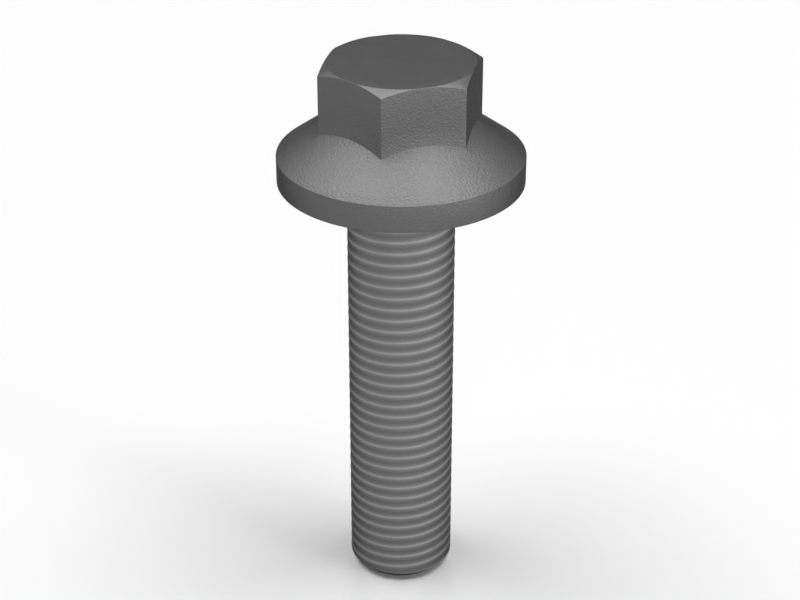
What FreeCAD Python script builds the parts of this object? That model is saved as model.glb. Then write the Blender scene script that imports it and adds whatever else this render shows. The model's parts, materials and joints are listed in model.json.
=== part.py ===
import FreeCAD, Part
import math
import os

# A hex flange bolt, forged and rolled in one piece. Millimetres.
# +Z runs along the axis from the thread to the head. The origin is the centre of the
# bearing face under the flange. Two of the six flats face +X and -X.

# Shank. The thread is on its whole length, and its crests lie on thread_major_d.
thread_major_d = 6.0
shank_length = 25.0
tip_face_d = 4.9
tip_chamfer_height = 0.55

# Flange: a plain round rim, with a cone above it that rises to the hexagon.
flange_d = 13.6
rim_height = 1.5
cone_slope_deg = 36.2

# Hexagon. Its top is a flat disc that reaches just past the middle of each flat,
# and a cone takes off the six corners outside it.
across_flats = 8.0
head_height = 6.8
corner_chamfer_deg = 30.0
top_disc_past_flat = 0.01

# How far solids reach into each other, or past a cut, before they are joined or cut.
overlap = 0.5

across_corners = across_flats / math.cos(math.radians(30))


def lathe(outline):
    """The closed solid that an outline of (radius, height) points makes around the axis."""
    points = [FreeCAD.Vector(radius, 0, height) for radius, height in outline]
    face = Part.Face(Part.makePolygon(points + points[:1]))
    return face.revolve(FreeCAD.Vector(0, 0, 0), FreeCAD.Vector(0, 0, 1), 360)


def make_shank():
    """The round shank at the thread's major diameter, chamfered to a flat tip."""
    radius = thread_major_d / 2
    outline = [
        (0, overlap),
        (0, -shank_length),
        (tip_face_d / 2, -shank_length),
        (radius, tip_chamfer_height - shank_length),
        (radius, overlap),
    ]
    return lathe(outline)


def make_flange():
    """The rim and the cone above it, which ends inside the hexagon."""
    radius = flange_d / 2
    inner = across_flats / 2 - overlap
    rise = (radius - inner) * math.tan(math.radians(cone_slope_deg))
    outline = [
        (0, 0),
        (radius, 0),
        (radius, rim_height),
        (inner, rim_height + rise),
        (0, rim_height + rise),
    ]
    return lathe(outline)


def make_hexagon():
    """The hexagonal prism with its top corners turned off."""
    corners = []
    for number in range(6):
        angle = math.radians(30 + 60 * number)
        x = across_corners / 2 * math.cos(angle)
        y = across_corners / 2 * math.sin(angle)
        corners.append(FreeCAD.Vector(x, y, overlap))
    face = Part.Face(Part.makePolygon(corners + corners[:1]))
    prism = face.extrude(FreeCAD.Vector(0, 0, head_height - overlap))
    return prism.common(make_turned_envelope())


def make_turned_envelope():
    """The round body, with a cone at its top, that the turned hexagon lies inside."""
    disc = across_flats / 2 + top_disc_past_flat
    outer = across_corners / 2 + overlap
    drop = (outer - disc) * math.tan(math.radians(corner_chamfer_deg))
    outline = [
        (0, 0),
        (outer, 0),
        (outer, head_height - drop),
        (disc, head_height),
        (0, head_height),
    ]
    return lathe(outline)


def make_bolt():
    """The whole bolt as one solid."""
    joined = make_flange().fuse([make_hexagon(), make_shank()])
    return joined.removeSplitter().Solids[0]


os.makedirs("parts", exist_ok=True)
make_bolt().exportStep("parts/flange_bolt.step")
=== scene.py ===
import json
import math

import bmesh
import bpy
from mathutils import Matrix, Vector


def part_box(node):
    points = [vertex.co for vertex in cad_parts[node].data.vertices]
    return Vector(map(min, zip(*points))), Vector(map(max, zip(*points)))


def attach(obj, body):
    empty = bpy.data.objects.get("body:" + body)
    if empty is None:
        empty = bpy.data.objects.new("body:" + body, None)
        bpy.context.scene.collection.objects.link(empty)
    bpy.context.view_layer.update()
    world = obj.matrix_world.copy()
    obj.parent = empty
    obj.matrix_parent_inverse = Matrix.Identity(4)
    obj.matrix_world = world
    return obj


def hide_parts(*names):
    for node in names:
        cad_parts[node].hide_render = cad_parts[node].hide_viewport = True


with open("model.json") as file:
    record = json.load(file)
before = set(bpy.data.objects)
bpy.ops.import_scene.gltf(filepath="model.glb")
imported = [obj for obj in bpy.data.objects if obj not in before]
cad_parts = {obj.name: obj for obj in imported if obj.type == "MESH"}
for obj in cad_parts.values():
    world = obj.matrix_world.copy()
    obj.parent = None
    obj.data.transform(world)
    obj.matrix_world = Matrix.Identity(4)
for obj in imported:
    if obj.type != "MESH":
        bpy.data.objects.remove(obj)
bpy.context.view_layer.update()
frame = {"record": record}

NODE = "flange_bolt"
MM = 0.001

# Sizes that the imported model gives, in metres
mounts = {mount["name"]: mount for mount in frame["record"]["mounts"]}
low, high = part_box(NODE)
CREST_R = mounts["thread"]["dims"]["r_mm"] * MM
FLAT_R = mounts["spanner_flat_right"]["pos_m"][0]
FLANGE_R = high[0]
HEAD_TOP = high[2]
TIP = low[2]
TIP_CHAMFER_HEIGHT = -TIP - mounts["thread"]["dims"]["length_mm"] * MM

# Sizes of the form that the frame doesn't state
RIM_HEIGHT = 1.5 * MM
CONE_SLOPE = math.radians(36.2)
TOP_DISC_R = FLAT_R + 0.01 * MM
CORNER_CHAMFER = math.radians(30)
TIP_R = 2.45 * MM
EDGE_R = 0.03 * MM
ROOT_OF_HEX_R = 0.05 * MM

# Right-hand thread. In the direction HIGHLIGHT_LINE_AT one of its painted highlight lines is at
# HIGHLIGHT_LINE_HEIGHT. A painted highlight line lies a quarter of the pitch above its crest, where
# the thread faces up most and catches light from above.
PITCH = 0.6903 * MM
THREAD_DEPTH = 0.02 * MM
HIGHLIGHT_LINE_HEIGHT = -2.508 * MM
HIGHLIGHT_LINE_AT = math.radians(-76.66)
PROFILE_POINTS = 8

# Mesh. The bolt runs on past its tip by END_SPARE until an envelope cuts it there.
COLUMN_STEP = math.radians(2)
SHARP_ANGLE = math.radians(40)
END_SPARE = 0.3 * MM
ENVELOPE_SPARE = 1 * MM
MERGE_DISTANCE = 0.0005 * MM

# Camera: a long lens, aimed at a point close to the axis
CAMERA_AZIMUTH = math.radians(12.84)
CAMERA_ELEVATION = math.radians(28.458)
CAMERA_DISTANCE = 106.82 * MM
AIM_HEIGHT = -7.596 * MM
AIM_LEFT = 0.0622 * MM
LENS = 85
SENSOR_WIDTH = 36
CLIP_START = 1 * MM

# Floor and backdrop
FLOOR_HALF = 0.6
FLOOR_COLOUR = (0.875, 0.875, 0.875)
FLOOR_ROUGHNESS = 0.8
BACKDROP = 0.99

# Finish, with painted highlights. The tone goes from DARK to LIGHT_TONE_AND_HIGHLIGHT, and
# LIGHT_TONE_AND_HIGHLIGHT is also the colour of the painted highlights. The thread has a share
# BAND_TONE of that everywhere, and its painted highlight lines have a sharp core and a skirt that
# reaches HIGHLIGHT_REACH of a pitch each way.
DARK = (0.1215, 0.1215, 0.1215)
LIGHT_TONE_AND_HIGHLIGHT = (0.285, 0.285, 0.285)
EDGE_TINT = (0.1, 0.1, 0.1)
MOTTLE_SIZE = 1.1 * MM
MOTTLE_RANGE = (0.3, 0.7)
TONE_RANGE = (0, 0.012)
ROUGHNESS_RANGE = (0.49, 0.51)
BAND_TONE = 0.085
HIGHLIGHT_SKIRT_TONE = 0.2
HIGHLIGHT_REACH = 0.5
HIGHLIGHT_POWER = 4

# Grain, as shares of GRAIN_DEPTH. Each range is of the height or of how far a face looks up.
GRAIN_SIZE = 0.12 * MM
GRAIN_DEPTH = 0.045 * MM
UPRIGHT_GRAIN = 0.54
CONE_GRAIN = 0.64
THREAD_GRAIN = 0.4
UPRIGHT_TO_CONE = (0.1, 0.8)
CONE_TO_TOP = (0.82, 0.86)
THREAD_TO_HEAD = (-0.2 * MM, 0)

# Each lamp's azimuth from the camera, elevation, strength and spread. A strength of pi lights a
# surface that faces the lamp so that its colour renders as written.
LAMPS = [
    ("overhead_left", -90, 70, 1.32, 40),
    ("overhead_right", 90, 70, 1.6, 40),
    ("back_left", -120, 42, 0.43, 40),
    ("low_back", 180, 14, 0.9, 20),
    ("low_front", 0, 10, 0.38, 20),
    ("low_front_right", 30, 10, 0.3, 20),
    ("low_right", 60, 10, 1.08, 20),
]
HEX_CORNERS = [math.radians(30 + 60 * number) for number in range(6)]


def hex_corner_centre():
    """How far from the axis the rounding of a hexagon corner has its centre."""
    return (FLAT_R - EDGE_R) / math.cos(math.radians(30))


def hex_corner_reach():
    """The angle from a corner at which its rounding meets the flat."""
    along = hex_corner_centre() + EDGE_R * math.cos(math.radians(30))
    across = EDGE_R * math.sin(math.radians(30))
    return math.atan2(across, along)


def hex_radius(angle):
    """The hexagon's radius in a direction, with its corners slightly rounded."""
    off = (angle - HEX_CORNERS[0] + math.radians(30)) % math.radians(60) - math.radians(30)
    if abs(off) < hex_corner_reach():
        centre = hex_corner_centre()
        return centre * math.cos(off) + math.sqrt(EDGE_R**2 - (centre * math.sin(off)) ** 2)
    return FLAT_R / math.cos(math.radians(30) - abs(off))


def column_angles():
    """The directions of the mesh's columns, with extra ones round each hexagon corner."""
    angles = {round(n * COLUMN_STEP, 9) for n in range(round(math.tau / COLUMN_STEP))}
    reach = hex_corner_reach()
    for corner in HEX_CORNERS:
        for share in (-1, -0.5, 0.5, 1):
            angles.add(round(corner + share * reach, 9))
    return sorted(angles)


def arc(centre, radius, start, end, count):
    """Points (radius, height) on an arc. Its angles are those of the outward normal from +Z."""
    points = []
    for n in range(count):
        turn = start + (end - start) * n / (count - 1)
        points.append((centre[0] + radius * math.sin(turn), centre[1] + radius * math.cos(turn)))
    return points


def top_edges(flat):
    """The rounded edges from the top disc over the corner chamfer to the flat."""
    inset = EDGE_R * math.tan(CORNER_CHAMFER / 2)
    disc_edge = (TOP_DISC_R - inset, HEAD_TOP - EDGE_R)
    inner = flat - EDGE_R
    drop = (inner - disc_edge[0]) * math.tan(CORNER_CHAMFER)
    if drop <= 0:
        disc_edge = (inner, disc_edge[1])
        drop = 0
    flat_edge = (inner, disc_edge[1] - drop)
    first = arc(disc_edge, EDGE_R, 0, CORNER_CHAMFER, 3)
    return first + arc(flat_edge, EDGE_R, CORNER_CHAMFER, math.radians(90), 5)


def cone_height(radius):
    return RIM_HEIGHT + (FLANGE_R - radius) * math.tan(CONE_SLOPE)


def hex_root(flat):
    """The small hollow where a flat meets the cone."""
    centre_r = flat + ROOT_OF_HEX_R
    centre = (centre_r, cone_height(centre_r) + ROOT_OF_HEX_R / math.cos(CONE_SLOPE))
    return arc(centre, -ROOT_OF_HEX_R, math.radians(90), CONE_SLOPE, 3)


def rim_edges():
    """The rounded upper and lower edges of the flange's rim."""
    centre_r = FLANGE_R - EDGE_R
    upper = (centre_r, cone_height(centre_r) - EDGE_R / math.cos(CONE_SLOPE))
    lower = (centre_r, EDGE_R)
    right_angle = math.radians(90)
    return arc(upper, EDGE_R, CONE_SLOPE, right_angle, 4) + arc(
        lower, EDGE_R, right_angle, 2 * right_angle, 5
    )


def between(first, last, count):
    """Evenly spaced points on the straight line between two (radius, height) points."""
    return [
        tuple(a + (b - a) * n / (count + 1) for a, b in zip(first, last))
        for n in range(1, count + 1)
    ]


def head_outline(angle):
    """The head's outline in one direction, from the top disc to the bearing face."""
    flat = hex_radius(angle)
    top = top_edges(flat)
    root = hex_root(flat)
    rim = rim_edges()
    disc = [(top[0][0] * share, HEAD_TOP) for share in (0.4, 0.8)]
    bearing = (thread_radius(angle, 0), 0)
    return (
        disc
        + top
        + between(top[-1], root[0], 2)
        + root
        + between(root[-1], rim[0], 3)
        + rim
        + between(rim[-1], bearing, 2)
        + [bearing]
    )


def thread_profile():
    """One pitch of the thread upward from a crest's middle, as (share of the pitch, depth)."""
    points = []
    for n in range(PROFILE_POINTS):
        share = n / PROFILE_POINTS
        points.append((share, THREAD_DEPTH / 2 * (1 - math.cos(math.tau * share))))
    return points


PROFILE = thread_profile()


def crest_height(angle):
    """The height of one crest in a direction."""
    return HIGHLIGHT_LINE_HEIGHT - PITCH / 4 + PITCH * (angle - HIGHLIGHT_LINE_AT) / math.tau


def thread_radius(angle, height):
    """The thread's radius at a height in one direction."""
    share = (height - crest_height(angle)) / PITCH % 1
    points = PROFILE + [(1, PROFILE[0][1])]
    for (first, above), (last, below) in zip(points, points[1:]):
        if share <= last:
            return CREST_R - above - (below - above) * (share - first) / (last - first)
    return CREST_R


def thread_rows():
    """The depth and height of each helical row, from above the flange down past the tip."""
    first = math.ceil(-crest_height(0) / PITCH) + 1
    end = TIP - END_SPARE
    last = math.floor((end - crest_height(math.tau)) / PITCH) - 1
    rows = []
    for number in range(first, last - 1, -1):
        for share, depth in reversed(PROFILE):
            rows.append((depth, PITCH * (number + share)))
    return rows


class Skin:
    """The points and faces of the bolt's surface. Each point has a key, so neighbours share it."""

    def __init__(self):
        self.angles = column_angles()
        self.outlines = [head_outline(angle) for angle in self.angles]
        self.rows = thread_rows()
        self.points = []
        self.index = {}
        self.faces = []

    def point(self, key, column, radius, height):
        if key not in self.index:
            self.index[key] = len(self.points)
            angle = self.angles[column]
            self.points.append((radius * math.cos(angle), radius * math.sin(angle), height))
        return self.index[key]

    def head(self, ring, column):
        """The head's point on a ring, numbered from the top disc to the bearing face."""
        column %= len(self.angles)
        return self.point(("head", ring, column), column, *self.outlines[column][ring])

    def thread(self, row, column):
        """The thread's point on a helical row. Rows end at the bearing face and the spare end."""
        if column == len(self.angles):
            column = 0
            row -= len(PROFILE)
        angle = self.angles[column]
        depth, rise = self.rows[max(row, 0)]
        height = crest_height(angle) + rise
        end = TIP - END_SPARE
        if row < 0 or height >= 0:
            return self.head(len(self.outlines[0]) - 1, column)
        if height <= end:
            return self.point(("end", column), column, thread_radius(angle, end), end)
        return self.point(("thread", row, column), column, CREST_R - depth, height)

    def face(self, *corners):
        """A face without its repeated corners, or none if fewer than three are left."""
        loop = [corner for n, corner in enumerate(corners) if corner != corners[n - 1]]
        if len(set(loop)) > 2:
            self.faces.append(loop)

    def strip(self, column):
        """All faces between one column and the next."""
        rings = len(self.outlines[0])
        last_row = len(self.rows) - 1
        crown = self.point("crown", 0, 0, HEAD_TOP)
        end = self.point("end", 0, 0, TIP - END_SPARE)
        self.face(crown, self.head(0, column), self.head(0, column + 1))
        for line, count in ((self.head, rings - 1), (self.thread, last_row)):
            for n in range(count):
                self.face(
                    line(n, column),
                    line(n + 1, column),
                    line(n + 1, column + 1),
                    line(n, column + 1),
                )
        self.face(end, self.thread(last_row, column + 1), self.thread(last_row, column))


def new_object(name, mesh):
    made = bpy.data.objects.new(name, mesh)
    bpy.context.collection.objects.link(made)
    return made


def build_bolt():
    """The bolt with its thread running on a little past the tip, as one closed mesh."""
    skin = Skin()
    for column in range(len(skin.angles)):
        skin.strip(column)
    mesh = bpy.data.meshes.new("bolt_body")
    mesh.from_pydata(skin.points, [], skin.faces)
    return new_object("bolt_body", mesh)


def build_tip_envelope():
    """A solid that holds the whole bolt and has the tip's chamfer and end face at its bottom."""
    slope = TIP_CHAMFER_HEIGHT / (CREST_R - TIP_R)
    outer = FLANGE_R + ENVELOPE_SPARE
    outline = [
        (TIP_R, TIP),
        (outer, TIP + (outer - TIP_R) * slope),
        (outer, HEAD_TOP + ENVELOPE_SPARE),
    ]
    count = round(math.tau / COLUMN_STEP)
    points = []
    for radius, height in outline:
        for n in range(count):
            angle = (n + 0.5) * COLUMN_STEP
            points.append((radius * math.cos(angle), radius * math.sin(angle), height))
    faces = [list(range(count))[::-1], list(range(2 * count, 3 * count))]
    for ring in (0, count):
        for n in range(count):
            m = (n + 1) % count
            faces.append([ring + n, ring + m, ring + count + m, ring + count + n])
    mesh = bpy.data.meshes.new("tip_envelope")
    mesh.from_pydata(points, [], faces)
    return new_object("tip_envelope", mesh)


def cut_tip(bolt):
    """Leaves what of the bolt lies inside the tip's envelope."""
    envelope = build_tip_envelope()
    cut = bolt.modifiers.new("tip", "BOOLEAN")
    cut.operation = "INTERSECT"
    cut.solver = "EXACT"
    cut.object = envelope
    whole = bolt.evaluated_get(bpy.context.evaluated_depsgraph_get())
    mesh = bpy.data.meshes.new_from_object(whole)
    bolt.modifiers.clear()
    bolt.data = mesh
    bpy.data.objects.remove(envelope)


def tidy_mesh(bolt):
    """Merges points that the cut left on top of each other and marks the sharp edges."""
    work = bmesh.new()
    work.from_mesh(bolt.data)
    bmesh.ops.remove_doubles(work, verts=work.verts, dist=MERGE_DISTANCE)
    bmesh.ops.dissolve_degenerate(work, edges=work.edges, dist=MERGE_DISTANCE)
    big = [face for face in work.faces if len(face.verts) > 4]
    bmesh.ops.triangulate(work, faces=big)
    bmesh.ops.recalc_face_normals(work, faces=work.faces)
    work.to_mesh(bolt.data)
    work.free()
    bolt.data.polygons.foreach_set("use_smooth", [True] * len(bolt.data.polygons))
    bolt.data.set_sharp_from_angle(angle=SHARP_ANGLE)
    even = bolt.modifiers.new("even_normals", "WEIGHTED_NORMAL")
    even.keep_sharp = True


def add_node(tree, kind, settings, inputs):
    """A shader node. Each of its inputs is a number, a colour or another node's output."""
    made = tree.nodes.new(kind)
    for name, value in settings.items():
        setattr(made, name, value)
    for name, value in inputs.items():
        if isinstance(value, bpy.types.NodeSocket):
            tree.links.new(value, made.inputs[name])
        else:
            made.inputs[name].default_value = value
    return made


def add_math(tree, operation, *values):
    inputs = dict(enumerate(values))
    return add_node(tree, "ShaderNodeMath", {"operation": operation}, inputs).outputs[0]


def add_noise(tree, place, size, detail):
    """A noise with features of one size, in metres."""
    inputs = {"Vector": place, "Scale": 1 / size, "Detail": detail, "Roughness": 0.5}
    return add_node(tree, "ShaderNodeTexNoise", {}, inputs).outputs["Fac"]


def add_range(tree, value, given, wanted):
    """A smooth step over the wanted range while a value goes over the given range."""
    inputs = {"Value": value}
    inputs["From Min"], inputs["From Max"] = given
    inputs["To Min"], inputs["To Max"] = wanted
    settings = {"interpolation_type": "SMOOTHSTEP"}
    return add_node(tree, "ShaderNodeMapRange", settings, inputs).outputs["Result"]


def add_painted_crest_highlights(tree, place):
    """How light the thread is: 1 along its painted highlight lines, little between them and 0 on
    the head.
    """
    parts = add_node(tree, "ShaderNodeSeparateXYZ", {}, {0: place})
    x, y, z = parts.outputs
    # Painted highlights: bright lines along the helix where the thread faces up most, with a skirt
    # each way.
    start = HIGHLIGHT_LINE_AT / math.tau - HIGHLIGHT_LINE_HEIGHT / PITCH
    along = add_math(tree, "MULTIPLY_ADD", z, 1 / PITCH, start)
    turn = add_math(tree, "MULTIPLY", add_math(tree, "ARCTAN2", y, x), -1 / math.tau)
    off = add_math(tree, "PINGPONG", add_math(tree, "ADD", along, turn), 0.5)
    highlight_nearness = add_math(tree, "MAXIMUM", add_math(tree, "MULTIPLY_ADD", off, -1 / HIGHLIGHT_REACH, 1), 0)
    # The painted highlight's sharp core, then its skirt and the thread's lighter tone.
    highlight_core = add_math(tree, "POWER", highlight_nearness, HIGHLIGHT_POWER)
    line = add_math(tree, "MULTIPLY_ADD", highlight_core, 1 - BAND_TONE - HIGHLIGHT_SKIRT_TONE, BAND_TONE)
    line = add_math(tree, "MULTIPLY_ADD", highlight_nearness, HIGHLIGHT_SKIRT_TONE, line)
    return add_math(tree, "MULTIPLY", line, add_math(tree, "LESS_THAN", z, 0))


def add_grain_strength(tree, coordinates):
    """Most on the head's cone, less on its upright faces and the thread, none on the turned top."""
    facing = add_node(tree, "ShaderNodeSeparateXYZ", {}, {0: coordinates.outputs["Normal"]})
    height = add_node(tree, "ShaderNodeSeparateXYZ", {}, {0: coordinates.outputs["Object"]})
    forged = add_range(tree, facing.outputs[2], CONE_TO_TOP, (1, 0))
    sloping = add_range(tree, facing.outputs[2], UPRIGHT_TO_CONE, (UPRIGHT_GRAIN, CONE_GRAIN))
    on_head = add_range(tree, height.outputs[2], THREAD_TO_HEAD, (THREAD_GRAIN, 1))
    return add_math(tree, "MULTIPLY", add_math(tree, "MULTIPLY", forged, sloping), on_head)


def dark_steel():
    """Dark satin steel with a fine grain, slightly uneven, a little lighter on the thread, with
    painted highlight lines along it.
    """
    material = bpy.data.materials.new("dark_steel_with_painted_highlights")
    material.use_nodes = True
    tree = material.node_tree
    shader = tree.nodes["Principled BSDF"]
    shader.inputs["Metallic"].default_value = 1
    shader.inputs["Specular Tint"].default_value = (*EDGE_TINT, 1)
    coordinates = tree.nodes.new("ShaderNodeTexCoord")
    place = coordinates.outputs["Object"]
    mottle = add_noise(tree, place, MOTTLE_SIZE, 3)
    grain = add_noise(tree, place, GRAIN_SIZE, 1)
    tone = add_range(tree, mottle, MOTTLE_RANGE, TONE_RANGE)
    # The random tone, or the thread's lighter tone with its painted highlights, whichever is
    # lighter.
    share = add_math(tree, "MAXIMUM", tone, add_painted_crest_highlights(tree, place))
    mix = add_node(tree, "ShaderNodeMix", {"data_type": "RGBA"}, {})
    tree.links.new(share, mix.inputs[0])
    mix.inputs[6].default_value = (*DARK, 1)
    mix.inputs[7].default_value = (*LIGHT_TONE_AND_HIGHLIGHT, 1)
    tree.links.new(mix.outputs[2], shader.inputs["Base Color"])
    roughness = add_range(tree, mottle, MOTTLE_RANGE, ROUGHNESS_RANGE)
    tree.links.new(roughness, shader.inputs["Roughness"])
    strength = add_grain_strength(tree, coordinates)
    inputs = {"Height": grain, "Distance": GRAIN_DEPTH, "Strength": strength}
    bump = add_node(tree, "ShaderNodeBump", {}, inputs)
    tree.links.new(bump.outputs["Normal"], shader.inputs["Normal"])
    return material


def build_floor():
    """A plain pale floor under the tip."""
    mesh = bpy.data.meshes.new("floor")
    half = FLOOR_HALF
    mesh.from_pydata(
        [(-half, -half, TIP), (half, -half, TIP), (half, half, TIP), (-half, half, TIP)],
        [],
        [(0, 1, 2, 3)],
    )
    floor = new_object("floor", mesh)
    material = bpy.data.materials.new("pale_floor")
    material.use_nodes = True
    shader = material.node_tree.nodes["Principled BSDF"]
    shader.inputs["Base Color"].default_value = (*FLOOR_COLOUR, 1)
    shader.inputs["Roughness"].default_value = FLOOR_ROUGHNESS
    shader.inputs["Specular IOR Level"].default_value = 0
    mesh.materials.append(material)


def build_world():
    """A pale backdrop all round, seen directly and in reflections, that gives no other light."""
    world = bpy.data.worlds.new("studio")
    world.use_nodes = True
    tree = world.node_tree
    path = tree.nodes.new("ShaderNodeLightPath")
    seen = add_math(tree, "ADD", path.outputs["Is Camera Ray"], path.outputs["Is Glossy Ray"])
    seen = add_math(tree, "ADD", seen, path.outputs["Is Transmission Ray"])
    strength = add_math(tree, "MULTIPLY", seen, BACKDROP)
    background = tree.nodes["Background"]
    background.inputs["Color"].default_value = (1, 1, 1, 1)
    tree.links.new(strength, background.inputs["Strength"])
    bpy.context.scene.world = world


def from_camera_angles(azimuth, elevation):
    """The unit vector to an azimuth and elevation. Azimuth 0 is -Y, and 90 degrees is +X."""
    return Vector((
        math.sin(azimuth) * math.cos(elevation),
        -math.cos(azimuth) * math.cos(elevation),
        math.sin(elevation),
    ))


def add_sun(name, azimuth, elevation, strength, spread):
    light = bpy.data.lights.new(name, "SUN")
    light.energy = strength
    light.angle = math.radians(spread)
    lamp = new_object(name, light)
    direction = from_camera_angles(CAMERA_AZIMUTH + math.radians(azimuth), math.radians(elevation))
    lamp.rotation_euler = direction.to_track_quat("Z", "Y").to_euler()


def add_camera():
    """The photograph's view, which looks down on the bolt."""
    data = bpy.data.cameras.new("camera")
    data.lens = LENS
    data.sensor_width = SENSOR_WIDTH
    data.clip_start = CLIP_START
    camera = new_object("camera", data)
    back = from_camera_angles(CAMERA_AZIMUTH, CAMERA_ELEVATION)
    left = Vector((-math.cos(CAMERA_AZIMUTH), -math.sin(CAMERA_AZIMUTH), 0))
    aim = Vector((0, 0, AIM_HEIGHT)) + AIM_LEFT * left
    camera.location = aim + CAMERA_DISTANCE * back
    camera.rotation_euler = back.to_track_quat("Z", "Y").to_euler()
    bpy.context.scene.camera = camera


bolt = build_bolt()
cut_tip(bolt)
tidy_mesh(bolt)
bolt.data.materials.clear()
bolt.data.materials.append(dark_steel())
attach(bolt, "root")
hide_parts(NODE)
build_floor()
build_world()
for name, azimuth, elevation, strength, spread in LAMPS:
    add_sun(name, azimuth, elevation, strength, spread)
add_camera()
bpy.context.scene.view_settings.view_transform = "Standard"
